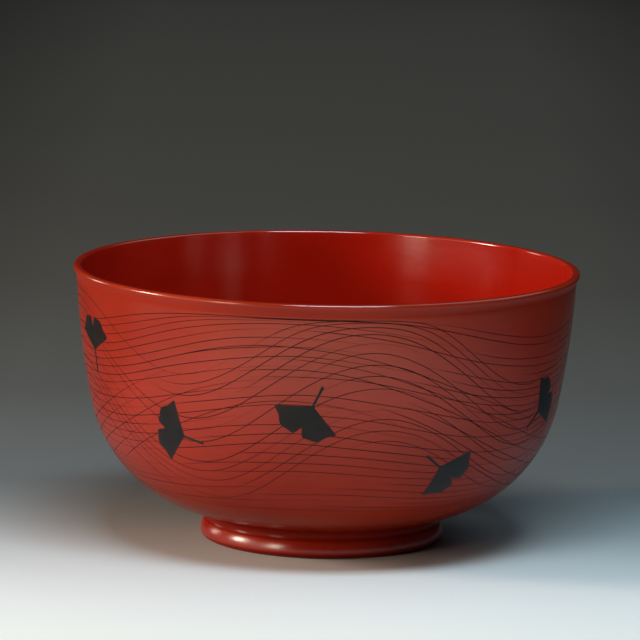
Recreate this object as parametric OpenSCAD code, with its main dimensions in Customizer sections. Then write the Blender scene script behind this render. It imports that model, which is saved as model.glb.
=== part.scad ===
// Footed lacquer bowl for sweets. A turned wooden core stands on a turned foot ring that is
// glued into a groove under it. Strips of cloth bind the rim, the bottom and the foot joint,
// red lacquer covers the whole, and black leaves are laid on the outside.
// Millimetres, +Z up, origin at the centre of the standing face.

/* [Bowl] */
// Outside diameter over the lip
rim_d = 212; // [190:1:240]
// Height from the standing face to the crest of the lip
bowl_h = 115; // [95:1:140]
// How far the belly lies inside the lip, on the radius
belly_inset = 6.7; // [5:0.1:12]
// Radius of the belly curve
belly_r = 60; // [45:1:70]
// Height of the lowest point of the belly curve above the standing face
belly_z = 10.5; // [9:0.5:16]
// Lean of the wall at the lip, in degrees from upright
rim_lean = 2.6; // [0:0.1:4]
// Thickness of the finished bottom, measured at the end of the belly curve
base_t = 6; // [4:0.5:9]

/* [Lip] */
// Radius of the outer edge of the lip
lip_r = 1.2; // [0.9:0.1:2]
// Radius of the inner edge of the lip
lip_in_r = 1; // [0.8:0.1:3]
// Width of the flat crest between the two edges of the lip
lip_flat = 1.2; // [0.6:0.1:2.5]
// How far the lip stands outside the wall
lip_proud = 1.2; // [0.6:0.1:2.5]
// Where the round of the lip runs into the hollow under it, in degrees below level
lip_curl = 36; // [25:1:50]

/* [Foot] */
// Largest diameter of the foot
foot_d = 102.4; // [85:0.1:120]
// Thickness of the foot ring at its widest, on the radius
foot_wall = 8; // [7:0.5:12]
// Radius of the side of the foot, above its widest
foot_side_r = 7; // [4:0.5:12]
// Radius of the outer edge of the foot, below its widest
foot_edge_r = 2.8; // [2:0.1:4.5]
// Radius of the inner edge of the foot
foot_in_edge_r = 1.5; // [0.8:0.1:2.5]
// Where the side of the foot runs into the hollow of the neck, in degrees above level
foot_flare = 40; // [25:1:55]
// Thickness of the tenon on top of the foot ring
tenon_t = 3; // [2:0.1:4]
// Height of the tenon
tenon_h = 4; // [2:0.5:5]
// Room for glue round the tenon
glue_gap = 0.1; // [0.05:0.05:0.3]

/* [Lacquer and cloth] */
// Thickness of each lacquer coat
coat_t = 0.4; // [0.2:0.05:0.6]
// Thickness of the cloth under the lacquer
cloth_t = 0.3; // [0.15:0.05:0.4]
// Film of glue that bonds a coat or a cloth to what it lies on
film_t = 0.02; // [0.01:0.01:0.05]
// How far the rim cloth reaches down from the crest of the lip
rim_cloth_w = 14; // [8:1:30]
// How far the bottom cloth stops short of the belly curve
well_margin = 1; // [0:0.5:10]

/* [Leaves] */
// Number of leaves round the bowl
leaf_count = 11; // [5:1:13]
// Length of a leaf from the stalk to its edge
leaf_len = 15; // [8:0.5:18]
// Half of the angle that a leaf spreads over, in degrees
leaf_spread = 64; // [35:1:70]
// Depth of the split in the middle of a leaf
leaf_split = 5; // [0:0.5:7]
// Height of the waves along the edge of a leaf
leaf_wave = 0.5; // [0:0.1:1]
// Length of the stalk
stalk_len = 9; // [4:0.5:14]
// Width of the stalk
stalk_w = 1; // [0.6:0.1:2]
// How far the leaves stand above the lacquer
leaf_t = 0.2; // [0.1:0.05:0.5]
// Film of glue between a leaf and the lacquer
leaf_bed = 0.03; // [0.03:0.01:0.08]
// Distance of the highest leaf below the lip curl, along the wall
leaf_high = 26; // [24:1:40]
// Distance of the lowest leaf below the lip curl, along the wall
leaf_low = 72; // [50:1:80]

/* [Hidden] */

// Largest gap between a true arc and the straight steps that draw it
arc_tol = 0.01;
// Two points closer than this are one point
same_point = 0.0001;
// Facets of a full turn
turn_fn = 180;

// Point at radius r and angle a, in degrees, round a centre
function polar(c, r, a) = c + r * [cos(a), sin(a)];
// Evenly spaced values from a to b
function along(a, b, n) = [for (i = [0:n]) a + (b - a) * i / n];
// Steps that an arc of radius r needs over a turn in degrees
function steps(r, turn) = max(1, ceil(abs(turn) / (2 * acos(1 - arc_tol / r))));
// Arc round c from angle a0 to a1, moved outwards by d
function arc(c, r, a0, a1, d = 0) = [for (a = along(a0, a1, steps(r, a1 - a0))) polar(c, r + d, a)];
// The same list, last first
function reversed(list) = [for (i = [len(list) - 1:-1:0]) list[i]];
// An outline without points that repeat the one before
function cleaned(list) =
    [for (i = [0:len(list) - 1]) if (i == 0 || norm(list[i] - list[i - 1]) > same_point) list[i]];
// Degrees below level of the direction from one point to another
function fall(from, to) = atan2(from.y - to.y, to.x - from.x);
// Radius of the hollow arc that leaves circle (c1, r1) in direction u and meets circle (c2, r2)
function hollow_r(c1, r1, u, c2, r2) =
    let (f = c1 - c2, k = f * u)
    (f * f + 2 * r1 * k + r1 * r1 - r2 * r2) / (2 * (r2 - k - r1));

// Outside of the bowl in half section: a belly arc and a wall arc that touch, a hollow curl
// up to the lip and a hollow neck down to the side and the round edge of the foot
rim_r = rim_d / 2;
lip_c = [rim_r - lip_r, bowl_h - lip_r];
lip_in_c = [rim_r - lip_r - lip_flat, bowl_h - lip_in_r];
belly_c = [rim_r - belly_inset - belly_r, belly_z + belly_r];
wall_top = [rim_r - lip_proud, lip_c.y];
wall_out = [cos(rim_lean), -sin(rim_lean)];
wall_span = wall_top - belly_c;
wall_r = (wall_span * wall_span - belly_r * belly_r) / (2 * (wall_span * wall_out - belly_r));
wall_c = wall_top - wall_r * wall_out;
belly_lean = fall(wall_c, belly_c);

curl_out = [cos(lip_curl), -sin(lip_curl)];
curl_r = hollow_r(lip_c, lip_r, curl_out, wall_c, wall_r);
curl_c = lip_c + (lip_r + curl_r) * curl_out;
curl_lean = fall(wall_c, curl_c);
// Where the inside of the wall runs into the lip, and the wall's thickness there
in_lean = fall(wall_c, lip_in_c);
top_t = wall_r + lip_in_r - norm(lip_in_c - wall_c);

foot_r = foot_d / 2;
foot_edge_c = [foot_r - foot_edge_r, foot_edge_r];
foot_side_c = [foot_r - foot_side_r, foot_edge_r];
flare_out = [cos(foot_flare), sin(foot_flare)];
neck_r = hollow_r(foot_side_c, foot_side_r, flare_out, belly_c, belly_r);
neck_c = foot_side_c + (foot_side_r + neck_r) * flare_out;
neck_lean = fall(belly_c, neck_c);
// Turn of the belly curve that the film takes between the coats of wall and foot, in degrees
neck_gap = film_t / belly_r * 180 / PI;

// The bottom, the recess under it and the joint of the foot, at the narrowest of the neck
floor_z = belly_z + base_t;
seat_z = neck_c.y;
seat_r = neck_c.x - neck_r - coat_t - cloth_t;
foot_in_r = foot_r - foot_wall;
foot_in_edge_c = [foot_in_r + foot_in_edge_r, foot_in_edge_r];
tenon_mid = (foot_in_r + coat_t + seat_r) / 2;

// Lean of the wall at the lower end of the rim cloth
band_lean = asin((wall_c.y - bowl_h + rim_cloth_w) / wall_r);
// Depth of the wood under lacquer and cloth
bound_d = coat_t + cloth_t;
// Depth of the back of a coat and of the back of a cloth, each a film above what it lies on
coat_back = coat_t - film_t;
cloth_back = bound_d - film_t;
// Turn of the lip that the film takes between the outer and the inner coat, in degrees
crest_gap = film_t / lip_r * 180 / PI;
well_r = belly_c.x - well_margin;

// Finished wall thickness where the outside leans by so many degrees
function wall_t(lean) =
    top_t + (base_t - top_t) * (1 - cos(180 * (lean - in_lean) / (90 - in_lean))) / 2;
// Inside of the wall between two leans, moved into the wall by d
function inner_arc(c, r, lean0, lean1, d) =
    [for (l = along(lean0, lean1, steps(r, lean1 - lean0))) polar(c, r - wall_t(l) + d, -l)];

// Outside, upwards at depth d: belly and wall below the rim cloth, then the bound rim
function outer_body(d) = concat(
    arc(belly_c, belly_r, neck_gap - neck_lean, -belly_lean, -d),
    arc(wall_c, wall_r, -belly_lean, -band_lean, -d));
function outer_band(d) = concat(
    arc(wall_c, wall_r, -band_lean, -curl_lean, -d),
    arc(curl_c, curl_r, 180 - curl_lean, 180 - lip_curl, d));
// Inside, upwards at depth d, from the end of the flat bottom
function inner_body(d) = concat(
    inner_arc(belly_c, belly_r, 90, belly_lean, d),
    inner_arc(wall_c, wall_r, belly_lean, band_lean, d));
function inner_band(d) = inner_arc(wall_c, wall_r, band_lean, in_lean, d);
// Outer edge of the lip, then its crest and its inner edge, inwards at depth d
function lip_arc(a0, a1, d) = arc(lip_c, lip_r, a0, a1, -d);
function lip_outer(d) = lip_arc(-lip_curl, 90, d);
function lip_inner(d) = concat(
    [polar(lip_c, lip_r - d, 90)],
    arc(lip_in_c, lip_in_r, 90, 180 - in_lean, -d));
// Hollow of the neck at depth d
function neck_arc(a0, a1, d) = arc(neck_c, neck_r, a0, a1, d);
// Side, outer edge and inner edge of the foot at depth d
function side_arc(a0, a1, d) = arc(foot_side_c, foot_side_r, a0, a1, -d);
function edge_arc(a0, a1, d) = arc(foot_edge_c, foot_edge_r, a0, a1, -d);
function in_edge_arc(a0, a1, d) = arc(foot_in_edge_c, foot_in_edge_r, a0, a1, -d);
// Outside of the foot downwards at depth d, from the belly to its widest
function foot_side(d) = concat(
    neck_arc(180 - neck_lean, 180, d),
    neck_arc(180, 180 + foot_flare, d),
    side_arc(foot_flare, 0, d));
// Underside of the foot at depth d, from its widest to the inner side
function foot_under(d) = concat(edge_arc(0, -90, d), in_edge_arc(-90, -180, d));
// Tenon in half section, from its inner foot round to its outer foot, with room round it
function tenon(room) =
    let (half = tenon_t / 2 + room, top = seat_z + tenon_h + room)
    [[tenon_mid - half, seat_z], [tenon_mid - half, top],
     [tenon_mid + half, top], [tenon_mid + half, seat_z]];

// Half section turned about the axis
module turned(outline) rotate_extrude($fn = turn_fn) polygon(cleaned(outline));

// Turned wooden bowl, cut back for the cloth and grooved for the foot
module wood_core() {
    color("burlywood")
    turned(concat(
        [[0, seat_z]],
        tenon(glue_gap),
        neck_arc(180, 180 - neck_lean, bound_d),
        outer_body(coat_t),
        outer_band(bound_d),
        lip_outer(bound_d),
        lip_inner(bound_d),
        reversed(inner_band(bound_d)),
        reversed(inner_body(coat_t)),
        [[well_r, floor_z - coat_t], [well_r, floor_z - bound_d], [0, floor_z - bound_d]]));
}

// Turned wooden ring with the tenon that holds it under the core
module foot_ring() {
    color("tan")
    turned(concat(
        neck_arc(180, 180 + foot_flare, bound_d),
        side_arc(foot_flare, 0, bound_d),
        foot_under(coat_t),
        [[foot_in_r + coat_t, seat_z]],
        tenon(0)));
}

// Strip of cloth folded over the rim
module rim_cloth() {
    color("wheat")
    turned(concat(
        outer_band(coat_t),
        lip_outer(coat_t),
        lip_inner(coat_t),
        reversed(inner_band(coat_t)),
        inner_band(cloth_back),
        reversed(lip_inner(cloth_back)),
        reversed(lip_outer(cloth_back)),
        reversed(outer_band(cloth_back))));
}

// Strip of cloth over the joint of core and foot
module foot_cloth() {
    color("wheat")
    turned(concat(foot_side(coat_t), reversed(foot_side(cloth_back))));
}

// Disc of cloth in the bottom
module well_cloth() {
    color("wheat")
    translate([0, 0, floor_z - cloth_back])
    cylinder(h = cloth_t - film_t, r = well_r - film_t, $fn = turn_fn);
}

// Red lacquer outside, from the crest of the lip to the neck
module outer_coat() {
    color("firebrick")
    turned(concat(
        outer_body(0), outer_band(0), lip_arc(-lip_curl, 90 - crest_gap, 0),
        lip_arc(90 - crest_gap, -lip_curl, coat_back),
        reversed(outer_band(coat_back)), reversed(outer_body(coat_back))));
}

// Red lacquer inside, from the crest of the lip to the bottom
module inner_coat() {
    color("darkred")
    turned(concat(
        [[0, floor_z]], inner_body(0), inner_band(0), reversed(lip_inner(0)),
        lip_inner(coat_back), reversed(inner_band(coat_back)),
        reversed(inner_body(coat_back)), [[0, floor_z - coat_back]]));
}

// Red lacquer round the foot, from the neck over the standing face to the recess
module foot_coat() {
    color("firebrick")
    turned(concat(
        foot_side(0), foot_under(0),
        [[foot_in_r, seat_z - film_t], [foot_in_r + coat_back, seat_z - film_t]],
        reversed(foot_under(coat_back)), reversed(foot_side(coat_back))));
}

// Lacquer on the underside, inside the foot
module recess_coat() {
    color("maroon")
    translate([0, 0, seat_z - coat_t])
    cylinder(h = coat_back, r = foot_in_r - film_t, $fn = turn_fn);
}

// Outside of the wall at distance s below the lip curl, raised by d: [radius, height]
wall_run = wall_r * (belly_lean - curl_lean) * PI / 180;
function skin(s, d) = s < wall_run
    ? polar(wall_c, wall_r + d, -curl_lean - s / wall_r * 180 / PI)
    : polar(belly_c, belly_r + d, -belly_lean - (s - wall_run) / belly_r * 180 / PI);
// Point on the outside, x along the girth from angle a and s below the lip curl, raised by d
function on_skin(a, x, s, d) =
    let (p = skin(s, d), turn = a + x / skin(s, 0).x * 180 / PI)
    [p.x * cos(turn), p.x * sin(turn), p.y];

// Leaf outline as rows across it: even rows up the stalk, then rows that fan out to the edge
leaf_cols = 16;
stalk_rows = 2;
fan_rows = 4;
leaf_waves = 2;
// Width of the split, as a part of the half leaf, and how far the columns crowd towards it
split_share = 0.1;
crowd_power = 1.5;
stalk_half = stalk_w / 2;
fan_start = stalk_half / sin(leaf_spread);
leaf_rows = stalk_rows + fan_rows;
// Place of column i across the leaf, from -1 at one side to 1 at the other
function leaf_q(i) = let (x = 2 * i / leaf_cols - 1) sign(x) * pow(abs(x), crowd_power);
// Length of the leaf towards q
function leaf_reach(q) =
    leaf_len + leaf_wave * cos(360 * leaf_waves * q) - leaf_split * exp(-q * q / split_share / split_share);
// Point of row j at q: x across the leaf, y along it
function leaf_point(j, q) = j < stalk_rows
    ? [q * stalk_half, -stalk_len * (1 - j / stalk_rows)]
    : let (reach = fan_start + (leaf_reach(q) - fan_start) * (j - stalk_rows) / fan_rows)
      reach * [sin(leaf_spread * q), cos(leaf_spread * q)];
// All points of a leaf at height d, its stalk turned by tilt from straight down
function leaf_points(a, s, tilt, d) = [
    for (j = [0:leaf_rows], i = [0:leaf_cols])
    let (p = leaf_point(j, leaf_q(i)))
    on_skin(a, p.x * cos(tilt) - p.y * sin(tilt), s - p.x * sin(tilt) - p.y * cos(tilt), d)];

// Faces of a thin slab whose top and bottom are the same grid of points
function slab_faces(rows, cols) =
    let (w = cols + 1, n = (rows + 1) * w)
    concat(
        [for (j = [0:rows - 1], i = [0:cols - 1]) let (p = j * w + i) each [
            [p, p + w, p + w + 1], [p, p + w + 1, p + 1],
            [n + p, n + p + w + 1, n + p + w], [n + p, n + p + 1, n + p + w + 1]]],
        [for (j = [0:rows - 1], p = [j * w]) each [[p, n + p, n + p + w], [p, n + p + w, p + w]]],
        [for (j = [0:rows - 1], p = [j * w + cols]) each [[p, p + w, n + p + w], [p, n + p + w, n + p]]],
        [for (p = [0:cols - 1]) each [[p, p + 1, n + p + 1], [p, n + p + 1, n + p]]],
        [for (p = [rows * w:rows * w + cols - 1]) each [[p, n + p, n + p + 1], [p, n + p + 1, p + 1]]]);

// Leaves stand evenly round the bowl, each next one at another height and turned further
first_leaf_angle = -158;
height_deal_ratio = 0.618;
leaf_turn_angle = 77;
function part_of(x) = x - floor(x);

// Black leaves on the outside
module leaf_inlays() {
    color("black")
    for (i = [0:leaf_count - 1]) {
        a = first_leaf_angle + 360 / leaf_count * i;
        s = leaf_high + (leaf_low - leaf_high) * part_of(height_deal_ratio * i);
        tilt = leaf_turn_angle * i;
        polyhedron(
            concat(leaf_points(a, s, tilt, leaf_t), leaf_points(a, s, tilt, leaf_bed)),
            slab_faces(leaf_rows, leaf_cols));
    }
}

wood_core();
foot_ring();
rim_cloth();
foot_cloth();
well_cloth();
outer_coat();
inner_coat();
foot_coat();
recess_coat();
leaf_inlays();
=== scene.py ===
# %% [markdown]
# # A lacquer sweets bowl
# A deep footed bowl: turned wood, bound with cloth at its weak places, under coats of red
# lacquer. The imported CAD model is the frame. This script lays finer surfaces over its coats
# and leaves, draws a stream of thin black lines round the wall, and gives every piece a
# finish. The CAD pieces stay where they are, so everything here is worked out in their frame.

import bpy
import numpy as np
from mathutils import Matrix, Vector


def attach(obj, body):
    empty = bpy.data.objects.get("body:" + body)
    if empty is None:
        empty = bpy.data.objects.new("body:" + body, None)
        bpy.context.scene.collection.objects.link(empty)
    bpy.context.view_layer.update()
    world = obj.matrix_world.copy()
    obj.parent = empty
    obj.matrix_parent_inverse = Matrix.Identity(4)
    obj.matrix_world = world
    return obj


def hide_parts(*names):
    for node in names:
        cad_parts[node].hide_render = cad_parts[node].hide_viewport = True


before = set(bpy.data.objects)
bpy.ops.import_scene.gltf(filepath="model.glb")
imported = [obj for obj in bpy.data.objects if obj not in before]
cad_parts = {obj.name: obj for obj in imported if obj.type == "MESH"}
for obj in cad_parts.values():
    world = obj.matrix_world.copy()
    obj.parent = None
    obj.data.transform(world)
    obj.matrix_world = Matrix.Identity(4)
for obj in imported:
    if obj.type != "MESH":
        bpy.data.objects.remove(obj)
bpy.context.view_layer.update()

print("CAD nodes:", ", ".join(sorted(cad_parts)))

# %% [markdown]
# ## The camera
# The bowl was photographed from a long way off, a little above the rim, so its two sides run
# almost parallel. A camera could be moved by hand until the outlines meet. Here it is placed
# by numbers: the pixel where the bowl's middle falls, the focal length in pixels, the height
# of the view and a slight roll. The lens looks past the bowl, as in the picture, with no shift.

# %% Camera
PHOTO_SIDE = 640
MIDDLE_PIXEL = (324.15, 400.63)
FOCAL_PIXELS = 5230.4
CAMERA_DISTANCE = 2.2
CAMERA_ELEVATION = 10.06
CAMERA_ROLL = -1.12
SENSOR_MM = 36
BOWL_MIDDLE = Vector((0, 0, 0.05765))

tilt = np.radians(CAMERA_ELEVATION)
right = Vector((1, 0, 0))
down = Vector((0, -np.sin(tilt), -np.cos(tilt)))
ahead = Vector((0, np.cos(tilt), -np.sin(tilt)))
to_world = Matrix((right, down, ahead)).transposed()
roll = Matrix.Rotation(np.radians(CAMERA_ROLL), 3, "Z")
offsets = [(p - PHOTO_SIDE / 2) / FOCAL_PIXELS for p in MIDDLE_PIXEL]
turn_aside = Vector((*offsets, 1)).rotation_difference(Vector((0, 0, 1))).to_matrix()
axes = to_world @ roll @ turn_aside @ Matrix.Diagonal((1, -1, -1))

camera = bpy.data.objects.new("camera", bpy.data.cameras.new("camera"))
camera.data.sensor_width = SENSOR_MM
camera.data.lens = FOCAL_PIXELS * SENSOR_MM / PHOTO_SIDE
camera.matrix_world = Matrix.Translation(BOWL_MIDDLE - CAMERA_DISTANCE * ahead) @ axes.to_4x4()
bpy.context.scene.collection.objects.link(camera)
bpy.context.scene.camera = camera
bpy.context.scene.view_settings.view_transform = "Standard"
print(f"lens {camera.data.lens:.1f} mm, {CAMERA_DISTANCE} m from the bowl")

# %% [markdown]
# ## Shader nodes in short
# Every finish below is a small tree of shader nodes. Wiring them by hand in the editor is fine
# for one material. Here a helper adds a node and fills or links its sockets by their names, so
# that a finish reads line by line and several pieces can share it.

# %% Helpers for nodes
def new_material(name):
    """An empty node material: its tree and its Principled shader."""
    material = bpy.data.materials.new(name)
    material.use_nodes = True
    return material, material.node_tree, material.node_tree.nodes["Principled BSDF"]


def fill(tree, socket, value):
    """Links a socket to another node's output, or sets it to a plain value."""
    if isinstance(value, bpy.types.NodeSocket):
        tree.links.new(value, socket)
    else:
        socket.default_value = value


def add(tree, kind, settings=None, **sockets):
    """A new node. settings are its own options; sockets are linked or filled by their names."""
    made = tree.nodes.new("ShaderNode" + kind)
    for option, value in (settings or {}).items():
        setattr(made, option, value)
    for name, value in sockets.items():
        fill(tree, made.inputs[name.replace("_", " ")], value)
    return made


def maths(tree, operation, *values):
    """One operation on numbers, such as their product or the larger of two."""
    made = add(tree, "Math", {"operation": operation})
    for socket, value in zip(made.inputs, values):
        fill(tree, socket, value)
    return made.outputs[0]


print("node helpers ready")

# %% [markdown]
# ## Patterns in short
# Natural colour starts as noise over the piece's own object coordinates, put through a colour
# ramp. A picture could hold such a pattern, but it would need a flat layout and would blur
# close up. Noise has no seams and suits any scale, and patterns can be mixed or multiplied.

# %% Helpers for places and noise
def object_place(tree):
    """The place on the piece, in its own object coordinates."""
    return add(tree, "TexCoord").outputs["Object"]


def along(tree, axis):
    """One of the object coordinates: X, Y or Z."""
    return add(tree, "SeparateXYZ", Vector=object_place(tree)).outputs[axis]


def stretched(tree, scale):
    """Object coordinates, scaled by a different amount along each axis."""
    return add(tree, "Mapping", Vector=object_place(tree), Scale=scale).outputs["Vector"]


def noise(tree, scale, **sockets):
    """Noise between 0 and 1 over the stretched object coordinates."""
    place = stretched(tree, scale)
    return add(tree, "TexNoise", Vector=place, Scale=1.0, **sockets).outputs["Fac"]


print("noise helpers ready")

# %% [markdown]
# ## Colours and bumps in short
# What a pattern does to the surface is settled by four more nodes: a ramp gives it colours, a
# map range gives it another scale, a mix lays one colour over another, and a bump tilts the
# normal. The editor has them all under Add; these helpers name the few settings in use here.

# %% Helpers for colours and bumps
def ramp(tree, value, stops):
    """A colour ramp with stops of (position, red, green, blue), in linear light."""
    made = add(tree, "ValToRGB", Fac=value)
    band = made.color_ramp
    while len(band.elements) < len(stops):
        band.elements.new(1)
    for element, (position, *colour) in zip(band.elements, stops):
        element.position = position
        element.color = (*colour, 1)
    return made.outputs["Color"]


def rescaled(tree, value, low, high, start=0.0, end=1.0):
    """Carries a value from the range start to end over to low to high, held at its ends."""
    made = add(tree, "MapRange", Value=value, From_Min=start, From_Max=end, To_Min=low, To_Max=high)
    return made.outputs["Result"]


def blend(tree, share, first, second, mode="MIX"):
    """Two colours mixed by a share, or multiplied, as the mode says."""
    mix = add(tree, "Mix", {"data_type": "RGBA", "blend_type": mode})
    for place, value in zip((0, 6, 7), (share, first, second)):
        fill(tree, mix.inputs[place], value)
    return mix.outputs[2]


def times(tree, first, second, share=1.0):
    """A colour multiplied by another, or by a share of it."""
    return blend(tree, share, first, second, "MULTIPLY")


def grey(value):
    """A number as a colour, for a mix."""
    return value, value, value, 1


def bump(tree, height, strength, distance, below=None):
    """The normal tilted by a pattern of heights, on top of another such normal if there is one."""
    made = add(tree, "Bump", Height=height, Strength=strength, Distance=distance)
    if below is not None:
        tree.links.new(below, made.inputs["Normal"])
    return made.outputs["Normal"]


print("colour helpers ready")

# %% [markdown]
# ## The floor
# The bowl stands on a sheet of pale paper that runs back without an edge. A curved backdrop
# would hide the horizon too, but it would stand in the way of views from behind. One flat sheet
# is enough.

# %% Floor sheet
FLOOR_HALF = 5.0

corners = np.array([(-1, -1, 0), (1, -1, 0), (1, 1, 0), (-1, 1, 0)]) * FLOOR_HALF
sheet_mesh = bpy.data.meshes.new("paper_floor")
sheet_mesh.from_pydata(corners.tolist(), [], [(0, 1, 2, 3)])
floor = bpy.data.objects.new("paper_floor", sheet_mesh)
bpy.context.scene.collection.objects.link(floor)
print("floor", 2 * FLOOR_HALF, "m square")

# %% [markdown]
# ## Pale paper
# How bright the paper looks from front to back and far to the sides, and the lamps' colours on
# it, are painted light: painted into its colour along its object coordinates. A lamp with a narrow
# beam could dim the back too, but it would also shade the bowl. A trace of fibres is mixed in.

# %% Pale paper
FLOOR_NEAR, FLOOR_FAR = -0.40, 2.40
# Distance behind the bowl's axis in metres, and the painted light on the paper there
FLOOR_PAINTED_LIGHT = [
    (-0.35, 1.00), (-0.19, 1.00), (-0.14, 0.95), (-0.11, 0.89), (-0.08, 0.80), (-0.05, 0.69),
    (-0.02, 0.55), (0.02, 0.395), (0.065, 0.26), (0.11, 0.165), (0.22, 0.15), (0.35, 0.12),
    (0.7, 0.11), (1.05, 0.138), (1.4, 0.20), (2.2, 0.42),
]
# Painted lamp tints on the paper: towards the camera, before and round the bowl, far behind; their
# places
FLOOR_PAINTED_TINTS = [(1.06, 1.0, 0.82), (1.01, 0.985, 0.97), (0.95, 1.0, 1.02), (1.12, 1.0, 0.85)]
TINT_PLACES = (-0.35, -0.14, 0.05, 0.6)
# Share of the painted light left far to the sides, and where it starts and ends to fade
SIDE_PAINTED_LIGHT, SIDE_FADE = 0.22, (0.15, 0.42)
FIBRES, FIBRE_TONE = (900, 900, 900), 0.97
PAPER_ROUGH, PAPER_SHEEN = 0.85, 0.2

paper, tree, shader = new_material("pale_paper")
run = rescaled(tree, along(tree, "Y"), 0.0, 1.0, FLOOR_NEAR, FLOOR_FAR)
fade = rescaled(tree, maths(tree, "ABSOLUTE", along(tree, "X")), 1.0, SIDE_PAINTED_LIGHT, *SIDE_FADE)
tones = []
for y, tone in FLOOR_PAINTED_LIGHT:
    tint = [np.interp(y, TINT_PLACES, channel) for channel in zip(*FLOOR_PAINTED_TINTS)]
    tones.append(((y - FLOOR_NEAR) / (FLOOR_FAR - FLOOR_NEAR), *(tone * c for c in tint)))
fibres = ramp(tree, noise(tree, FIBRES, Detail=2.0), [(0.3, *[FIBRE_TONE] * 3), (0.7, 1, 1, 1)])
colour = times(tree, times(tree, ramp(tree, run, tones), fibres), fade)
tree.links.new(colour, shader.inputs["Base Color"])
shader.inputs["Roughness"].default_value = PAPER_ROUGH
shader.inputs["Specular IOR Level"].default_value = PAPER_SHEEN
sheet_mesh.materials.append(paper)
print("paper with", len(tones), "tones from front to back")

# %% [markdown]
# ## The light
# Plain studio light: a warm softbox square to the left, one between it and the camera with a
# broad card round it for the sheen inside the bowl, a cooler one overhead, a weak one behind at
# the right, and a strip behind at the left. The highlights on lip and foot say where they stand:
# on a round shape a highlight sits half way between the camera and the lamp. A lamp of level 1
# lights a white card that faces it to full white, so colours come out about as they are written.

# %% Softboxes
def softbox(name, left_of_camera, elevation, distance, width, height, level, tint):
    """A flat lamp turned to the bowl. Its power is level times pi squared times distance squared."""
    a, e = np.radians(left_of_camera), np.radians(elevation)
    outward = Vector((-np.sin(a) * np.cos(e), -np.cos(a) * np.cos(e), np.sin(e)))
    lamp = bpy.data.objects.new(name, bpy.data.lights.new(name, "AREA"))
    lamp.data.shape = "RECTANGLE"
    lamp.data.size, lamp.data.size_y = width, height
    lamp.data.energy = level * np.pi ** 2 * distance ** 2
    lamp.data.color = tint
    lamp.location = BOWL_MIDDLE + distance * outward
    lamp.rotation_euler = (-outward).to_track_quat("-Z", "Y").to_euler()
    lamp.visible_camera = False
    bpy.context.scene.collection.objects.link(lamp)
    return lamp


WARM, COOL, PLAIN = (1.0, 0.80, 0.64), (0.66, 0.88, 1.0), (1.0, 0.90, 0.70)
ROOM_COLOUR = (0.005, 0.005, 0.006, 1)
# Degrees left of the camera and above level, distance, width and height in metres, level, tint
lamps = [
    softbox("side_softbox", 86, 17, 1.4, 0.26, 0.34, 0.68, WARM),
    softbox("front_softbox", 45, 12, 1.4, 0.28, 0.62, 0.23, PLAIN),
    softbox("front_card", 57, 12, 1.4, 0.90, 0.62, 0.09, PLAIN),
    softbox("top_softbox", -10, 67, 1.5, 0.8, 0.40, 0.70, COOL),
    softbox("back_softbox", -120, 52, 1.4, 1.2, 1.0, 0.13, COOL),
    softbox("rear_strip", 122, 10, 1.2, 0.20, 0.32, 0.09, WARM),
]

world = bpy.data.worlds.new("studio")
world.use_nodes = True
world.node_tree.nodes["Background"].inputs["Color"].default_value = ROOM_COLOUR
bpy.context.scene.world = world
print("lamps:", ", ".join(lamp.name for lamp in lamps))

# %% [markdown]
# ## The half section
# A turner works to a profile, and the whole bowl is one profile turned about its axis. The CAD
# model draws it with arcs that touch: a belly circle, a wall circle, a hollow curl under the
# lip, two round edges with a flat crest between them, a hollow neck over the side and the edge
# of the foot. The same circles are worked out again here, in millimetres, from the same sizes,
# so that the fine surfaces lie exactly on the CAD coats.

# %% Sizes of the profile
MM = 0.001
RIM_R, BOWL_H = 106.0, 115.0
BELLY_INSET, BELLY_R, BELLY_Z = 6.7, 60.0, 10.5
RIM_LEAN, BASE_T = 2.6, 6.0
LIP_R, LIP_FLAT, LIP_IN_R = 1.2, 1.2, 1.0
LIP_PROUD, LIP_CURL = 1.2, 36.0
FOOT_R, FOOT_WALL, FOOT_SIDE_R, FOOT_FLARE = 51.2, 8.0, 7.0, 40.0
FOOT_EDGE_R, FOOT_IN_EDGE_R = 2.8, 1.5
COAT_T, FILM_T = 0.4, 0.02
COAT_BACK = COAT_T - FILM_T
print(f"a bowl {2 * RIM_R:.0f} mm across and {BOWL_H:.0f} mm high")

# %% [markdown]
# ## Circles that touch
# Two circles touch on the line through their centres, so most joints of the profile follow from
# two centres and the angle between them. Only the hollow arcs have to be solved for. They could
# be drawn by eye with a curve's handles, but then they would leave a faint crease in the gloss.

# %% Circles of the profile
def direction(angle):
    """The unit direction at an angle in degrees above level: (cosine, sine)."""
    return np.array([np.cos(np.radians(angle)), np.sin(np.radians(angle))])


def fall(start, end):
    """Degrees below level of the way from one point to another."""
    return np.degrees(np.arctan2(start[1] - end[1], end[0] - start[0]))


def hollow_radius(c1, r1, u, c2, r2):
    """Radius of the hollow arc that leaves circle c1, r1 in direction u and touches circle c2, r2.

    Its centre is c1 + (r1 + x) u, and lies r2 + x away from c2; that is solved for x.
    """
    f = c1 - c2
    k = f @ u
    return (f @ f + 2 * r1 * k + r1 ** 2 - r2 ** 2) / (2 * (r2 - k - r1))


lip_c = np.array([RIM_R - LIP_R, BOWL_H - LIP_R])
lip_in_c = np.array([RIM_R - LIP_R - LIP_FLAT, BOWL_H - LIP_IN_R])
belly_c = np.array([RIM_R - BELLY_INSET - BELLY_R, BELLY_Z + BELLY_R])
wall_top = np.array([RIM_R - LIP_PROUD, lip_c[1]])
span = wall_top - belly_c
wall_r = (span @ span - BELLY_R ** 2) / (2 * (span @ direction(-RIM_LEAN) - BELLY_R))
wall_c = wall_top - wall_r * direction(-RIM_LEAN)
belly_lean = fall(wall_c, belly_c)

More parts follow.
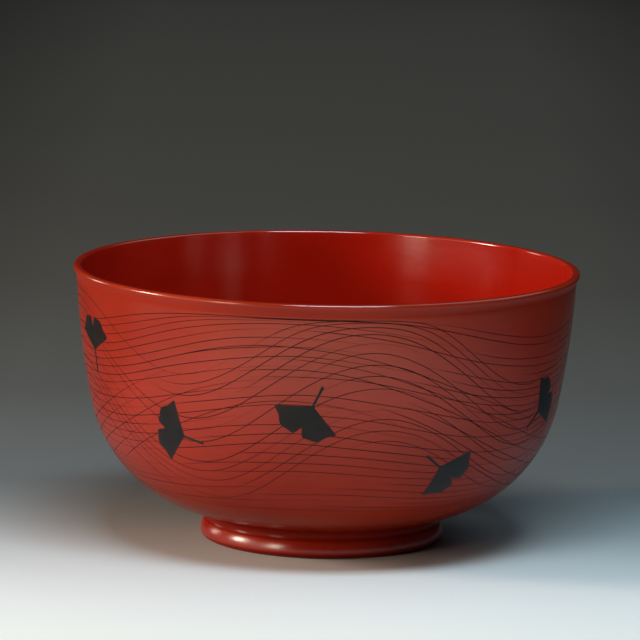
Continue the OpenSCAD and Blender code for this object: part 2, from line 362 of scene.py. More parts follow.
curl_r = hollow_radius(lip_c, LIP_R, direction(-LIP_CURL), wall_c, wall_r)
curl_c = lip_c + (LIP_R + curl_r) * direction(-LIP_CURL)
curl_lean = fall(wall_c, curl_c)
in_lean = fall(wall_c, lip_in_c)
top_t = wall_r + LIP_IN_R - np.linalg.norm(lip_in_c - wall_c)

foot_edge_c = np.array([FOOT_R - FOOT_EDGE_R, FOOT_EDGE_R])
foot_side_c = np.array([FOOT_R - FOOT_SIDE_R, FOOT_EDGE_R])
neck_r = hollow_radius(foot_side_c, FOOT_SIDE_R, direction(FOOT_FLARE), belly_c, BELLY_R)
neck_c = foot_side_c + (FOOT_SIDE_R + neck_r) * direction(FOOT_FLARE)
neck_lean = fall(belly_c, neck_c)
foot_in_r = FOOT_R - FOOT_WALL
foot_in_edge_c = np.array([foot_in_r + FOOT_IN_EDGE_R, FOOT_IN_EDGE_R])
floor_z, seat_z = BELLY_Z + BASE_T, neck_c[1]
print(f"wall radius {wall_r:.1f} mm, curl radius {curl_r:.2f} mm, neck radius {neck_r:.2f} mm")

# %% [markdown]
# ## Runs of the profile
# Each stretch of the profile is a small array of points, radius and height. Bezier curves could
# hold it too, but arrays can be joined, reversed and moved in by a depth in one step each.

# %% Runs of points
SAME_POINT = 1e-6


def arc(centre, radius, start, end, steps):
    """Points centre + radius (cosine, sine) for even angles, in degrees, from start to end."""
    a = np.radians(np.linspace(start, end, steps + 1))
    radius = np.broadcast_to(radius, a.shape)
    return np.stack([centre[0] + radius * np.cos(a), centre[1] + radius * np.sin(a)], axis=1)


def level(start, end, height, steps):
    """Points at one height, with even radii from start to end."""
    r = np.linspace(start, end, steps + 1)
    return np.stack([r, np.full_like(r, height)], axis=1)


def joined(*runs):
    """Several runs of points as one, without points that repeat the one before."""
    points = np.concatenate(runs)
    far = np.linalg.norm(np.diff(points, axis=0), axis=1) > SAME_POINT
    return points[np.concatenate([[True], far])]


print("lip edge:", len(arc(lip_c, LIP_R, -LIP_CURL, 90, 8)), "points at eight steps")

# %% [markdown]
# ## Sides of the coats
# On the real bowl a coat of lacquer follows the surface below it at an even depth. A Solidify
# modifier could give that depth, but not the exact joints on the crest and in the neck. So each
# side is drawn at any depth from the same arcs. The steps are finest on the lip and on the foot
# edge, because a highlight on a tight round shows every facet.

# %% Sides of the coats
BELLY_STEPS, WALL_STEPS, CURL_STEPS, LIP_STEPS = 14, 7, 4, 8
BOTTOM_STEPS, LIP_IN_STEPS, CREST_STEPS = 6, 6, 2
NECK_STEPS, FOOT_SIDE_STEPS, FOOT_EDGE_STEPS, FOOT_IN_STEPS = 8, 5, 6, 4


def wall_thickness(lean):
    """Top thickness under the lip, base thickness at the bottom, half a cosine wave between."""
    share = (lean - in_lean) / (90 - in_lean)
    return top_t + (BASE_T - top_t) * (1 - np.cos(np.pi * share)) / 2


def inner_run(centre, radius, start, end, depth, steps):
    """The outer arc moved in by the wall's thickness and back out by the depth."""
    thickness = wall_thickness(np.linspace(start, end, steps + 1))
    return arc(centre, radius - thickness + depth, -start, -end, steps)


def outer_side(depth, fine):
    """Outside from the neck up to the crest of the lip, at a depth; fine multiplies the steps."""
    film_turn = np.degrees(FILM_T / BELLY_R)
    crest_turn = np.degrees(FILM_T / LIP_R)
    return joined(
        arc(belly_c, BELLY_R - depth, film_turn - neck_lean, -belly_lean, BELLY_STEPS * fine),
        arc(wall_c, wall_r - depth, -belly_lean, -curl_lean, WALL_STEPS * fine),
        arc(curl_c, curl_r + depth, 180 - curl_lean, 180 - LIP_CURL, CURL_STEPS * fine),
        arc(lip_c, LIP_R - depth, -LIP_CURL, 90 - crest_turn, LIP_STEPS * fine))


def inner_side(depth, fine):
    """Inside from the axis over the flat bottom, up the wall and over the crest, at a depth."""
    return joined(
        level(0, belly_c[0], floor_z - depth, BOTTOM_STEPS * fine),
        inner_run(belly_c, BELLY_R, 90, belly_lean, depth, BELLY_STEPS * fine),
        inner_run(wall_c, wall_r, belly_lean, in_lean, depth, WALL_STEPS * fine),
        arc(lip_in_c, LIP_IN_R - depth, 180 - in_lean, 90, LIP_IN_STEPS * fine),
        level(lip_in_c[0], lip_c[0], BOWL_H - depth, CREST_STEPS * fine))


def foot_outside(depth, fine):
    """Foot from the neck down its side, round its edge and the standing face to its inner edge."""
    return joined(
        arc(neck_c, neck_r + depth, 180 - neck_lean, 180 + FOOT_FLARE, NECK_STEPS * fine),
        arc(foot_side_c, FOOT_SIDE_R - depth, FOOT_FLARE, 0, FOOT_SIDE_STEPS * fine),
        arc(foot_edge_c, FOOT_EDGE_R - depth, 0, -90, FOOT_EDGE_STEPS * fine),
        arc(foot_in_edge_c, FOOT_IN_EDGE_R - depth, -90, -180, FOOT_IN_STEPS * fine))


print("outside run:", len(outer_side(0, 4)), "points at four times the steps")

# %% [markdown]
# ## Pieces of the bowl
# A finished piece is a smooth mesh at the origin. It rides on the bowl's one body and carries
# its finish. Only true corners stay sharp: smoothing over them would smear the highlights on the
# thin ends of a coat.

# %% Putting a piece in the scene
SHARP_ANGLE = 30


def put_in_scene(name, points, faces, material):
    """A smooth mesh piece at the origin that rides on the bowl, with its finish."""
    mesh = bpy.data.meshes.new(name)
    mesh.from_pydata((points * MM).tolist(), [], faces)
    mesh.shade_smooth()
    mesh.set_sharp_from_angle(angle=np.radians(SHARP_ANGLE))
    mesh.materials.append(material)
    piece = bpy.data.objects.new(name, mesh)
    bpy.context.scene.collection.objects.link(piece)
    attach(piece, "root")
    return piece


def mark(piece, name, values):
    """Writes one number for each point of a piece, for its material to read."""
    attribute = piece.data.attributes.new(name, "FLOAT", "POINT")
    attribute.data.foreach_set("value", values.astype(np.float32))


print("edges over", SHARP_ANGLE, "degrees stay sharp")

# %% [markdown]
# ## Turning
# Blender's Screw or Spin could turn the profile, but they leave a seam to merge and may turn
# the shell inside out. A grid is surer: each profile point goes round the axis, the last
# column meets the first, and points on the axis become one pole. The order of the profile
# tells which way the faces look, so it is put anticlockwise before turning.

# %% Turned shells
COLUMNS = 288
ON_AXIS = 1e-9


def turned(outline):
    """Turns an outline of (radius, height) about the axis: x = r cos a, y = r sin a, z = height.

    An outline that starts and ends on the axis has a pole at both ends; any other is a loop.
    """
    r, z = outline.T
    if np.sum(r * np.roll(z, -1) - np.roll(r, -1) * z) < 0:
        r, z = r[::-1], z[::-1]
    poles = bool(r[0] < ON_AXIS)
    ring_r, ring_z = (r[1:-1], z[1:-1]) if poles else (r, z)
    a = np.arange(COLUMNS) * 2 * np.pi / COLUMNS
    rings = np.stack([np.outer(ring_r, np.cos(a)), np.outer(ring_r, np.sin(a)),
                      np.repeat(ring_z[:, None], COLUMNS, 1)], axis=2).reshape(-1, 3)
    rows = len(ring_r)
    bands = np.arange(rows - 1 if poles else rows)
    i, j = np.meshgrid(bands, np.arange(COLUMNS), indexing="ij")
    this, above, beside = i * COLUMNS, (i + 1) % rows * COLUMNS, (j + 1) % COLUMNS
    quads = np.stack([this + j, this + beside, above + beside, above + j], axis=2)
    faces = quads.reshape(-1, 4).tolist()
    if not poles:
        return rings, faces
    first, last = len(rings), len(rings) + 1
    top = (rows - 1) * COLUMNS
    j, beside = np.arange(COLUMNS), (np.arange(COLUMNS) + 1) % COLUMNS
    faces += np.stack([np.full(COLUMNS, first), beside, j], axis=1).tolist()
    faces += np.stack([top + j, top + beside, np.full(COLUMNS, last)], axis=1).tolist()
    return np.concatenate([rings, [(0, 0, z[0]), (0, 0, z[-1])]]), faces


print("a full turn has", COLUMNS, "columns")

# %% [markdown]
# ## Red lacquer
# Lacquer is brushed on in thin coats and rubbed down, so it is smooth but not like glass: a
# satin that blurs a reflection, with faint clouds in the pigment, finer streaks round the bowl
# from the brush, and a ripple too small to see except in the highlights. Handling wears it
# thin along the edges, where it shows a warmer, brighter red, and polishes it. Under the belly,
# in the hollows and at the standing edge the coats are rubbed less and stay duller. The red is
# darkened towards the bottom, in the neck and at the standing edge as painted shade, where the
# bowl shades itself. All of that hangs on object coordinates and two point attributes; the
# streaks are noise squeezed a hundred times in height.

# %% Red lacquer
CLOUDS, STREAKS = (26, 26, 26), (9, 9, 850)
RIPPLE, PEEL = (420, 420, 420), (2600, 2600, 2600)
STREAK_TONE = 0.93
# Strength and depth in metres of each bump
RIPPLE_BUMP, STREAK_BUMP, PEEL_BUMP = (0.05, 0.0004), (0.05, 0.0003), (0.04, 0.0001)
ROUGH_SPREAD = 0.04
EDGE_ROUGH, EDGE_SHEEN = 0.11, 1.0
# The last of these is painted shade: the share of the red left in the neck and at the standing edge
HOLLOW_ROUGH, HOLLOW_SHEEN, HOLLOW_PAINTED_SHADE = 0.35, 0.05, 0.6
# The curl under the lip is rubbed a little, and not darkened
CURL_SHARE = 0.85
# Heights in metres between which the painted shade towards the bottom fades out
PAINTED_SHADE_HEIGHTS = (0.012, 0.07)
TOP_COAT, TOP_COAT_ROUGH = 0.1, 0.12


def red_lacquer(name, deep, bright, edge, roughness, pull, low_painted_shade, sheen, sheen_heights):
    """Pigment clouds times brush streaks, warmer along worn edges, with a rippled satin surface.

    The red is darkened at the bottom by the low share, and by nothing from the top of the shade
    heights on, and darkened in the neck and at the standing edge too: painted shade. sheen has the
    shine at the two heights in sheen_heights.
    marks that pull the highlights along the section; pull tells how far.
    """
    material, tree, shader = new_material(name)
    clouds = noise(tree, CLOUDS, Detail=4.0, Roughness=0.55)
    streaks = noise(tree, STREAKS, Detail=3.0, Roughness=0.6)
    height = along(tree, "Z")
    worn = add(tree, "Attribute", {"attribute_name": "worn"}).outputs["Fac"]
    hollow = add(tree, "Attribute", {"attribute_name": "hollow"}).outputs["Fac"]

    body = ramp(tree, clouds, [(0.3, *deep), (0.7, *bright)])
    body = times(tree, body, ramp(tree, streaks, [(0.3, *[STREAK_TONE] * 3), (0.7, 1.0, 1.0, 1.0)]))
    # Painted shade: the red darkened towards the bottom, under the belly and deep inside
    body = times(tree, body, rescaled(tree, height, low_painted_shade, 1.0, *PAINTED_SHADE_HEIGHTS))
    patchy = maths(tree, "MULTIPLY", worn, rescaled(tree, clouds, 0.35, 1.0, 0.35, 0.65))
    body = blend(tree, patchy, body, (*edge, 1))
    # Painted shade: the red darkened in the neck and at the standing edge, where the hollow mask is
    # high
    body = times(tree, body, rescaled(tree, hollow, 1.0, HOLLOW_PAINTED_SHADE, CURL_SHARE, 1.0))
    tree.links.new(body, shader.inputs["Base Color"])

    gloss = rescaled(tree, clouds, roughness - ROUGH_SPREAD, roughness + ROUGH_SPREAD, 0.3, 0.7)
    gloss = blend(tree, worn, gloss, grey(EDGE_ROUGH))
    tree.links.new(blend(tree, hollow, gloss, grey(HOLLOW_ROUGH)), shader.inputs["Roughness"])
    shine = rescaled(tree, height, *sheen, *sheen_heights)
    shine = blend(tree, worn, shine, grey(EDGE_SHEEN))
    shine = blend(tree, hollow, shine, grey(HOLLOW_SHEEN))
    tree.links.new(shine, shader.inputs["Specular IOR Level"])

    low = bump(tree, noise(tree, RIPPLE, Detail=2.0), *RIPPLE_BUMP)
    mid = bump(tree, streaks, *STREAK_BUMP, low)
    top = bump(tree, noise(tree, PEEL, Detail=1.0), *PEEL_BUMP, mid)
    tree.links.new(top, shader.inputs["Normal"])
    tree.links.new(object_place(tree), shader.inputs["Tangent"])
    shader.inputs["Anisotropic"].default_value = pull
    shader.inputs["Coat Weight"].default_value = TOP_COAT
    shader.inputs["Coat Roughness"].default_value = TOP_COAT_ROUGH
    return material


print("red lacquer is shaded up to", PAINTED_SHADE_HEIGHTS[1], "m")

# %% [markdown]
# ## Three reds
# The outside is a brick red with a satin that fades towards the belly. The inside is a purer
# red, glossy only near the rim, where hands reach. The foot shines at its edge and is dull in
# the neck. Three separate materials could be drawn, but they are one lacquer, so one function
# makes them with different numbers.

# %% Three reds
# All three reds are darkened towards the bottom as painted shade: most outside, less inside, hardly
# on the foot
outer_red = red_lacquer(
    "outer_red_lacquer", (0.320, 0.0180, 0.0044), (0.372, 0.0220, 0.0052), (0.42, 0.032, 0.008),
    roughness=0.22, pull=0.3, low_painted_shade=0.62, sheen=(0.08, 0.55), sheen_heights=(0.035, 0.09))
foot_red = red_lacquer(
    "foot_red_lacquer", (0.310, 0.0130, 0.0038), (0.370, 0.0165, 0.0046), (0.42, 0.028, 0.008),
    roughness=0.28, pull=0.5, low_painted_shade=0.95, sheen=(0.85, 0.10), sheen_heights=(0.0045, 0.0075))
inner_red = red_lacquer(
    "inner_red_lacquer", (0.395, 0.0086, 0.0023), (0.450, 0.0108, 0.0028), (0.42, 0.024, 0.008),
    roughness=0.17, pull=0.2, low_painted_shade=0.75, sheen=(0.10, 1.0), sheen_heights=(0.094, 0.111))
print("red lacquers:", outer_red.name, foot_red.name, inner_red.name)

# %% [markdown]
# ## Worn and hollow places
# Hands polish the lip and the inner edge of the foot. The rubbing cloth hardly reaches the curl
# under the lip, the neck and the standing edge, which stay duller; the hollow mask also darkens
# the neck and the standing edge as painted shade. Such masks are often painted by hand. Here they
# come from the distance to those places in the half section, so they are even all round.

# %% Worn and hollow places
WEAR_REACH, HOLLOW_REACH = 1.3, 0.9

lip_crest = lip_c + LIP_R * direction(70)
lip_inner_edge = lip_in_c + LIP_IN_R * direction(120)
foot_inner_edge = foot_in_edge_c + FOOT_IN_EDGE_R * direction(-135)
edges = [lip_crest, lip_inner_edge, foot_inner_edge]
curl_run = arc(curl_c, curl_r, 180 - curl_lean, 180 - LIP_CURL, 12)
# The neck and the standing edge: the hollow mask dulls them and paints shade into them
low_runs = joined(arc(neck_c, neck_r, 180 - neck_lean, 180 + FOOT_FLARE, 12),
                  arc(foot_edge_c, FOOT_EDGE_R, -25, -90, 8))


def nearness(points, places, reach):
    """1 at some places of the half section, falling off as a bell with the distance from them."""
    section = np.stack([np.hypot(points[:, 0], points[:, 1]), points[:, 2]], axis=1)
    away = np.linalg.norm(section[:, None, :] - np.array(places)[None], axis=2).min(axis=1)
    return np.exp(-(away / reach) ** 2)


print(len(edges), "worn edges,", len(curl_run) + len(low_runs), "places along the hollows")

# %% [markdown]
# ## The coats
# Four closed shells: outside, inside, foot and the recess under the base. The CAD coats could
# have stayed, but their facets show in the gloss. Each shell replaces the CAD coat of the same
# place and keeps its thickness, its film and the joints on the crest of the lip and in the neck.
# A shell is drawn finely up its seen side and coarsely down its back.

# %% Coats
FINE, COARSE, RECESS_STEPS = 5, 1, 24


def coat(name, outline, material):
    """One coat: the turned outline with its masks, in place of the CAD node of that name."""
    points, faces = turned(outline)
    piece = put_in_scene("fine_" + name, points, faces, material)
    mark(piece, "worn", nearness(points, edges, WEAR_REACH))
    curl, low = (nearness(points, places, HOLLOW_REACH) for places in (curl_run, low_runs))
    mark(piece, "hollow", np.maximum(CURL_SHARE * curl, low))
    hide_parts(name)
    print(piece.name, len(points), "points", len(faces), "faces")


coat("outer_coat", joined(outer_side(0, FINE), outer_side(COAT_BACK, COARSE)[::-1]),
     outer_red)
coat("inner_coat", joined(inner_side(0, FINE), inner_side(COAT_BACK, COARSE)[::-1]),
     inner_red)
foot_top = np.array([[foot_in_r, seat_z - FILM_T], [foot_in_r + COAT_BACK, seat_z - FILM_T]])
coat("foot_coat", joined(foot_outside(0, FINE), foot_top, foot_outside(COAT_BACK, COARSE)[::-1]),
     foot_red)
recess_low = level(0, foot_in_r - FILM_T, seat_z - COAT_T, RECESS_STEPS)
recess_high = recess_low[::-1] + (0, COAT_BACK)
coat("recess_coat", joined(recess_low, recess_high), foot_red)

# %% [markdown]
# ## Places on the wall
# The decoration is laid out flat, as on a strip of paper wrapped round the bowl: so far along
# the girth and so far down from the curl under the lip. A Shrinkwrap modifier could press a flat
# drawing onto the wall, but it stretches. One function carries each place onto the wall, and
# lifts it a little where the paint is thicker.

# %% From a flat layout to the wall
wall_run = wall_r * np.radians(belly_lean - curl_lean)


def on_wall(angle, down_wall, lift):
    """Point on the outside: radius and height come from the wall arc, then from the belly arc.

    angle is in radians round the axis, down_wall in mm along the section, lift in mm outwards.
    """
    on_arc = down_wall < wall_run
    lean = np.where(on_arc, np.radians(curl_lean) + down_wall / wall_r,
                    np.radians(belly_lean) + (down_wall - wall_run) / BELLY_R)
    reach = np.where(on_arc, wall_r, BELLY_R) + lift
    r = np.where(on_arc, wall_c[0], belly_c[0]) + reach * np.cos(lean)
    z = np.where(on_arc, wall_c[1], belly_c[1]) - reach * np.sin(lean)
    return np.stack([r * np.cos(angle), r * np.sin(angle), z], axis=-1)


def girth_radius(down_wall):
    """Distance from the axis to the wall at a place so far down."""
    return np.hypot(*np.moveaxis(on_wall(0.0 * down_wall, down_wall, 0.0)[..., :2], -1, 0))


print(f"the wall arc runs {wall_run:.1f} mm down, then the belly takes over")

# %% [markdown]
# ## Black lacquer
# The leaves and lines are black lacquer, painted on and left to level out. It is a little
# duller than the red, with streaks from the brush, and where a line runs dry it is so thin
# that the red shows through. That could be a see-through shader; a point attribute that tells
# how thick the paint is does it with one colour mix.

# %% Black lacquer
BLACK_CLOUDS, BLACK_GRAIN = (160, 160, 160), (1500, 1500, 1500)
BLACK_DEEP, BLACK_PALE = (0.0070, 0.0066, 0.0070), (0.0125, 0.0120, 0.0128)
BLACK_ROUGH_SPREAD, BLACK_BUMP = 0.05, (0.08, 0.0001)


def black_lacquer(name, thin_colour, roughness, sheen):
    """Near black with faint clouds, going over to the red below where the paint runs thin."""
    material, tree, shader = new_material(name)
    clouds = noise(tree, BLACK_CLOUDS, Detail=4.0)
    body = ramp(tree, clouds, [(0.3, *BLACK_DEEP), (0.7, *BLACK_PALE)])
    thickness = add(tree, "Attribute", {"attribute_name": "thickness"}).outputs["Fac"]
    body = blend(tree, thickness, (*thin_colour, 1), body)
    tree.links.new(body, shader.inputs["Base Color"])
    smooth, dull = roughness - BLACK_ROUGH_SPREAD, roughness + BLACK_ROUGH_SPREAD
    tree.links.new(rescaled(tree, clouds, smooth, dull, 0.3, 0.7), shader.inputs["Roughness"])
    grain = noise(tree, BLACK_GRAIN, Detail=2.0)
    tree.links.new(bump(tree, grain, *BLACK_BUMP), shader.inputs["Normal"])
    shader.inputs["Specular IOR Level"].default_value = sheen
    return material


leaf_black = black_lacquer("leaf_black_lacquer", (0.06, 0.010, 0.007), 0.36, 0.20)
line_black = black_lacquer("line_black_lacquer", (0.16, 0.006, 0.003), 0.42, 0.02)
print("black lacquers:", leaf_black.name, line_black.name)

# %% [markdown]
# ## One leaf
# A ginkgo leaf is a fan on a stalk, with a wavy edge and a split. The CAD leaves are plain
# slabs. Here a leaf is a finer grid over the same outline: rows up the stalk and out through
# the fan, columns across it that crowd at the split. A filled curve would give the outline
# alone; a grid also lets the paint stand high in the middle, thin to the edge and have veins.

# %% Leaf grid
LEAF_LEN, LEAF_SPREAD, LEAF_SPLIT, LEAF_WAVE = 15.0, 64.0, 5.0, 0.5
STALK_LEN, STALK_W, LEAF_T = 9.0, 1.0, 0.2
STALK_FLARE, FLARE_POWER = 0.35, 4
SPLIT_SHARE, CROWD, LEAF_WAVES, VEINS = 0.1, 1.5, 2, 15
STALK_ROWS, FAN_ROWS, LEAF_COLUMNS = 12, 24, 56
VEIN_DEPTH, LEAF_EDGE = 0.05, 0.03
SIDE_POWER, END_POWER = 6, 10

across = np.linspace(-1, 1, LEAF_COLUMNS + 1)
q = np.sign(across) * np.abs(across) ** CROWD
stalk_t = np.linspace(0, 1, STALK_ROWS, endpoint=False)[:, None]
fan_t = np.linspace(0, 1, FAN_ROWS + 1)[:, None]


def leaf_reach(q):
    """Leaf length towards q: waves along the edge, less a bell-shaped split in the middle."""
    waves = LEAF_WAVE * np.cos(2 * np.pi * LEAF_WAVES * q)
    return LEAF_LEN + waves - LEAF_SPLIT * np.exp(-(q / SPLIT_SHARE) ** 2)


stalk_x = q * (STALK_W / 2 * (1 + STALK_FLARE * (1 - stalk_t) ** FLARE_POWER))
stalk_y = np.broadcast_to(-STALK_LEN * (1 - stalk_t), stalk_x.shape)
fan_start = STALK_W / 2 / np.sin(np.radians(LEAF_SPREAD))
reach = fan_start + (leaf_reach(q) - fan_start) * fan_t
fan_turn = np.radians(LEAF_SPREAD * q)
leaf_x = np.concatenate([stalk_x, reach * np.sin(fan_turn)])
leaf_y = np.concatenate([stalk_y, reach * np.cos(fan_turn)])

crown = (1 - np.abs(q) ** SIDE_POWER) * (1 - fan_t ** END_POWER)
veins = VEIN_DEPTH * (0.5 + 0.5 * np.cos(2 * np.pi * VEINS * q)) * fan_t
fan_lift = LEAF_EDGE + (LEAF_T - LEAF_EDGE - veins) * crown
stalk_lift = LEAF_EDGE + (LEAF_T - LEAF_EDGE) * (1 - q ** 2) * np.ones_like(stalk_t)
leaf_lift = np.concatenate([stalk_lift, fan_lift])
print("a leaf has", leaf_lift.shape, "points on its face")

# %% [markdown]
# ## Closed quads
# Leaves and lines are many copies of one small closed mesh. Instances would share one mesh, but
# each copy bends to its own place on the wall. So the faces are worked out once and repeated,
# and the volume inside tells whether they look outwards.

# %% Helpers for closed quads
def slab_faces(rows, columns):
    """Faces of a thin slab whose face and back are the same grid, rows times columns of points."""
    i, j = np.meshgrid(np.arange(rows - 1), np.arange(columns - 1), indexing="ij")
    p, back = i * columns + j, rows * columns
    face = np.stack([p, p + columns, p + columns + 1, p + 1], axis=2).reshape(-1, 4)
    rim = np.concatenate([
        np.arange(columns), np.arange(2, rows + 1) * columns - 1,
        rows * columns - 2 - np.arange(columns - 1), np.arange(rows - 2, 0, -1) * columns])
    after = np.roll(rim, -1)
    side = np.stack([rim, after, back + after, back + rim], axis=1)
    return np.concatenate([face, back + face[:, ::-1], side])


def copies(quads, count, points_each):
    """The same quads for many shapes whose points follow each other: the numbers move on."""
    shift = (np.arange(count) * points_each)[:, None, None]
    return (quads[None] + shift).reshape(-1, 4)


def outward_volume(points, quads):
    """Volume inside closed quads, positive where they look outwards: a sum of tetrahedra."""
    a, b, c, d = np.moveaxis(points[quads], 1, 0)
    return np.einsum("ij,ij->i", a, np.cross(b, c) + np.cross(c, d)).sum() / 6


def facing_out(points, quads):
    """The quads, each turned over if the volume inside them comes out negative."""
    return quads[:, ::-1] if outward_volume(points, quads) < 0 else quads


print("a leaf has", len(slab_faces(*leaf_x.shape)), "faces")

# %% [markdown]
# ## Leaves on the wall
# The leaves drift on the stream, each at its own height and turned further than the last. They
# could be scattered by chance; a fixed deal of heights and turns spreads them more evenly, and
# it is the deal of the CAD leaves, which these replace.

# %% Leaves on the wall
LEAF_COUNT, LEAF_HIGH, LEAF_LOW = 11, 26.0, 72.0
FIRST_LEAF_ANGLE, HEIGHT_DEAL, LEAF_TURN = -158.0, 0.618, 77.0
LEAF_SUNK, EDGE_PAINT = -0.05, 0.75

leaf = np.arange(LEAF_COUNT)[:, None, None]
leaf_angle = np.radians(FIRST_LEAF_ANGLE + 360 / LEAF_COUNT * leaf)
leaf_down = LEAF_HIGH + (LEAF_LOW - LEAF_HIGH) * (HEIGHT_DEAL * leaf % 1)
leaf_tilt = np.radians(LEAF_TURN * leaf)
along_girth = leaf_x * np.cos(leaf_tilt) - leaf_y * np.sin(leaf_tilt)
down_wall = leaf_down - leaf_x * np.sin(leaf_tilt) - leaf_y * np.cos(leaf_tilt)
angles = leaf_angle + along_girth / girth_radius(down_wall)
sides = [on_wall(angles, down_wall, lift) for lift in (leaf_lift, LEAF_SUNK)]
leaf_points = np.concatenate([side.reshape(LEAF_COUNT, -1, 3) for side in sides], axis=1)

leaf_quads = copies(slab_faces(*leaf_x.shape), LEAF_COUNT, leaf_points.shape[1])
leaf_points = leaf_points.reshape(-1, 3)
leaf_quads = facing_out(leaf_points, leaf_quads)
leaves = put_in_scene("painted_leaves", leaf_points, leaf_quads.tolist(), leaf_black)
paint = (EDGE_PAINT + (1 - EDGE_PAINT) * leaf_lift / LEAF_T).ravel()
mark(leaves, "thickness", np.tile(np.concatenate([paint, np.ones_like(paint)]), LEAF_COUNT))
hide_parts("leaf_inlays")
volume = outward_volume(leaf_points, leaf_quads)
print("leaves:", len(leaf_points), "points,", f"{volume:.0f} cubic mm")

# %% [markdown]
# ## The stream
# Bundles of hairlines flow round the wall like water between two banks. A texture of waves could
# show them, but it would repeat and all lines would be alike. Here a bundle is a wave round the
# bowl; its lines keep their share of its width, which swells and narrows; a soft limit keeps
# them between the banks. Each line is drawn in three strokes that leave short gaps.

# %% Course of the stream
STREAM_TOP, STREAM_FOOT, BANK_POWER = 0.6, 94.0, 10
# For each bundle: middle, swing and half width in mm, waves and swells in a round, their
# starting turns, and the number of lines
BUNDLES = np.array([
    (46.0, 7.0, 52.0, 3, 2, 0.55, 0.80, 26),
    (40.0, 18.0, 34.0, 4, 3, 0.62, 0.10, 14),
    (48.0, 24.0, 16.0, 2, 3, 0.30, 0.50, 6),
])
STROKES_A_LINE, STROKE_STEPS = 3, 150
START_SPREAD, SHORT_STROKE, STROKE_SPREAD = 0.35, 0.72, 0.26
MEAN_WIDTH, WIDTH_SWING = 0.85, 0.15
# Sway of the hand: mm, waves in a round, and how far it moves on from line to line
HAND_SWAYS = ((0.35, 5, 1), (0.2, 11, 3))
draw = np.random.default_rng(11)

line_bundle = np.repeat(np.arange(len(BUNDLES)), BUNDLES[:, 7].astype(int))
line_share = np.concatenate([np.linspace(-1, 1, int(n)) for n in BUNDLES[:, 7]])
bundle = np.repeat(line_bundle, STROKES_A_LINE)
share = np.repeat(line_share, STROKES_A_LINE)[:, None]
third = np.tile(np.arange(STROKES_A_LINE), len(line_bundle))
start_turn = (third + START_SPREAD * draw.random(len(third))) / STROKES_A_LINE
start_turn += np.repeat(draw.random(len(line_bundle)), STROKES_A_LINE)
long_turn = (SHORT_STROKE + STROKE_SPREAD * draw.random(len(third))) / STROKES_A_LINE
t = np.linspace(0, 1, STROKE_STEPS + 1)[None]
turn = start_turn[:, None] + long_turn[:, None] * t


def wave(turns):
    """The sine of a number of whole turns."""
    return np.sin(2 * np.pi * turns)


def stream_course(turn):
    """Place down the wall: bundle middle plus its wave, plus the line's share of its width."""
    middle, swing, half, waves, swells, wave_start, swell_start, _ = BUNDLES[bundle].T[:, :, None]
    width = half * (MEAN_WIDTH + WIDTH_SWING * wave(swells * turn + swell_start))
    hand = sum(size * wave(count * turn + step * share) for size, count, step in HAND_SWAYS)
    free = middle + swing * wave(waves * turn + wave_start) + share * width + hand
    centre, bank = (STREAM_TOP + STREAM_FOOT) / 2, (STREAM_FOOT - STREAM_TOP) / 2
    reach = (free - centre) / bank
    return centre + bank * reach / (1 + reach ** BANK_POWER) ** (1 / BANK_POWER)


course = stream_course(turn)
print(len(course), "strokes, from", f"{course.min():.1f} to {course.max():.1f} mm down the wall")

# %% [markdown]
# ## Strokes of the brush
# Each line was drawn with one long pull of a fine brush: it starts with a point, swells, and
# runs out thin. A bevelled curve would be a round wire; paint has a flat edge and a low ridge.
# So four points are carried along the course: both edges, the ridge, and a root in the red.

# %% Ribbons along the strokes
LINE_W, LINE_HEIGHT, LINE_EDGE, LINE_SUNK = 0.29, 0.03, 0.004, -0.05
POINT_SHARE, START_TAPER, END_TAPER = 0.28, 0.10, 0.35
THIN_LINE, LINE_SPREAD = 0.85, 0.3


def taper(x, length):
    """From POINT_SHARE at the end of a stroke to 1 a length further, 3 x squared less 2 x cubed."""
    x = np.clip(x / length, 0, 1)
    return POINT_SHARE + (1 - POINT_SHARE) * x * x * (3 - 2 * x)


swell = taper(t, START_TAPER) * taper(1 - t, END_TAPER)
half_w = LINE_W / 2 * swell * (THIN_LINE + LINE_SPREAD * draw.random((len(course), 1)))
angle = 2 * np.pi * turn
radius = girth_radius(course)
step_girth, step_down = np.gradient(angle, axis=1) * radius, np.gradient(course, axis=1)
length = np.hypot(step_girth, step_down)
aside_girth, aside_down = -step_down / length, step_girth / length

# One edge, the ridge, the other edge, and the root in the red
side = np.array([-1, 0, 1, 0])
heights = np.broadcast_arrays(LINE_EDGE, LINE_HEIGHT * swell, LINE_EDGE, LINE_SUNK, half_w)[:4]
ribbon_angle = angle[..., None] + side * (half_w * aside_girth / radius)[..., None]
ribbon_down = course[..., None] + side * (half_w * aside_down)[..., None]
ribbons = on_wall(ribbon_angle, ribbon_down, np.stack(heights, axis=2))
print(f"ribbons up to {2 * half_w.max():.2f} mm wide")

# %% [markdown]
# ## Lines of the stream
# The ribbons become one mesh: walls between the four points of one step and the next, and a cap
# at either end, so that every stroke is closed. The paint is thinnest where a stroke tapers,
# and the red below warms it there.

# %% Lines of the stream
DRY_PAINT, FULL_PAINT = 0.25, 0.85

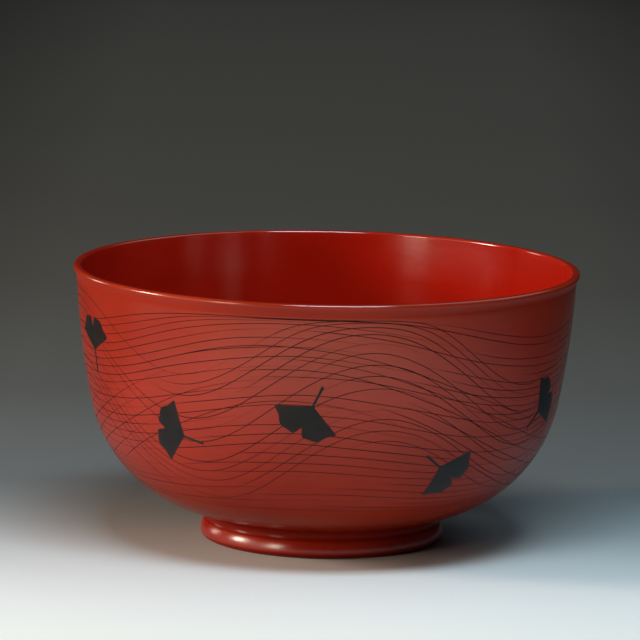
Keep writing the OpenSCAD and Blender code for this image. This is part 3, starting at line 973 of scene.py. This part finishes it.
strokes, samples, points_across = ribbons.shape[:3]
i, j = np.meshgrid(np.arange(samples - 1), np.arange(points_across), indexing="ij")
p, beside = i * points_across + j, i * points_across + (j + 1) % points_across
walls = np.stack([p, beside, beside + points_across, p + points_across], axis=2).reshape(-1, 4)
end = (samples - 1) * points_across
caps = np.array([[3, 2, 1, 0], [end, end + 1, end + 2, end + 3]])
line_quads = copies(np.concatenate([walls, caps]), strokes, samples * points_across)
line_points = ribbons.reshape(-1, 3)
line_quads = facing_out(line_points, line_quads)
stream = put_in_scene("stream_lines", line_points, line_quads.tolist(), line_black)
paint = DRY_PAINT + (FULL_PAINT - DRY_PAINT) * swell
mark(stream, "thickness", np.broadcast_to(paint[..., None], ribbons.shape[:3]).ravel())
volume = outward_volume(line_points, line_quads)
print("stream:", len(line_quads) * 2, "triangles,", f"{volume:.1f} cubic mm")

# %% [markdown]
# ## Wood inside
# The core and the foot ring lie under the lacquer and show only if a coat is taken off, so they
# keep their CAD shapes. Turned wood could have straight grain, but bowl blanks are cut from a
# plank: the year rings run round a log axis that lies across the bowl, with pores along it.

# %% Wood
PORES, PORE_SHARE = (90, 1400, 1400), 0.7
RING_BUMP = (0.15, 0.0003)


def turned_wood(name, dark, light, scale):
    """Year rings as a wave in distance from the log's axis, bent by noise, with pores along it."""
    material, tree, shader = new_material(name)
    rings = add(tree, "TexWave", {"wave_type": "RINGS", "rings_direction": "X"},
                Vector=stretched(tree, scale), Scale=1.0, Distortion=2.5, Detail=3.0).outputs["Fac"]
    body = ramp(tree, rings, [(0.1, *dark), (0.75, *light)])
    grain = noise(tree, PORES, Detail=3.0)
    pores = ramp(tree, grain, [(0.35, 0.62, 0.55, 0.5), (0.55, 1, 1, 1)])
    tree.links.new(times(tree, body, pores, PORE_SHARE), shader.inputs["Base Color"])
    tree.links.new(rescaled(tree, rings, 0.55, 0.75), shader.inputs["Roughness"])
    tree.links.new(bump(tree, rings, *RING_BUMP), shader.inputs["Normal"])
    return material


def dress(node, material):
    """Gives a CAD node one finish in place of its packed one."""
    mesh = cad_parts[node].data
    mesh.materials.clear()
    mesh.materials.append(material)
    print(node, "in", material.name)


core_wood = turned_wood("core_wood_grain", (0.30, 0.16, 0.07), (0.52, 0.33, 0.17), (8, 62, 62))
foot_wood = turned_wood("foot_wood_grain", (0.26, 0.13, 0.055), (0.46, 0.28, 0.14), (8, 80, 80))
dress("wood_core", core_wood)
dress("foot_ring", foot_wood)

# %% [markdown]
# ## Cloth inside
# Strips of hemp are pasted over the rim and the foot joint, and a disc into the bottom, so that
# the wood doesn't split. They keep their CAD shapes too. Single threads could be modelled, but
# they lie under lacquer: a plain weave of two crossed waves is enough, with uneven yarn.

# %% Cloth
THREAD_SCALE, SLUBS = 0.16, (300, 300, 300)
WEAVE_BUMP = (0.5, 0.0002)


def woven_cloth(name, thread, gap, threads_a_metre):
    """Two sets of threads as bands across each other; their larger value makes a plain weave."""
    material, tree, shader = new_material(name)
    place = stretched(tree, (threads_a_metre,) * 3)
    sets = []
    for axis in ("X", "Z"):
        bands = add(tree, "TexWave", {"wave_type": "BANDS", "bands_direction": axis},
                    Vector=place, Scale=THREAD_SCALE, Distortion=0.6, Detail=1.0)
        sets.append(bands.outputs["Fac"])
    weave = maths(tree, "MAXIMUM", *sets)
    body = ramp(tree, weave, [(0.2, *gap), (0.8, *thread)])
    yarn = noise(tree, SLUBS, Detail=2.0)
    slubs = ramp(tree, yarn, [(0.3, 0.85, 0.84, 0.82), (0.7, 1, 1, 1)])
    tree.links.new(times(tree, body, slubs), shader.inputs["Base Color"])
    tree.links.new(rescaled(tree, weave, 0.95, 0.8), shader.inputs["Roughness"])
    tree.links.new(bump(tree, weave, *WEAVE_BUMP), shader.inputs["Normal"])
    return material


hemp = woven_cloth("binding_hemp", (0.62, 0.50, 0.34), (0.30, 0.21, 0.12), 1500)
for node in ("rim_cloth", "foot_cloth", "well_cloth"):
    dress(node, hemp)
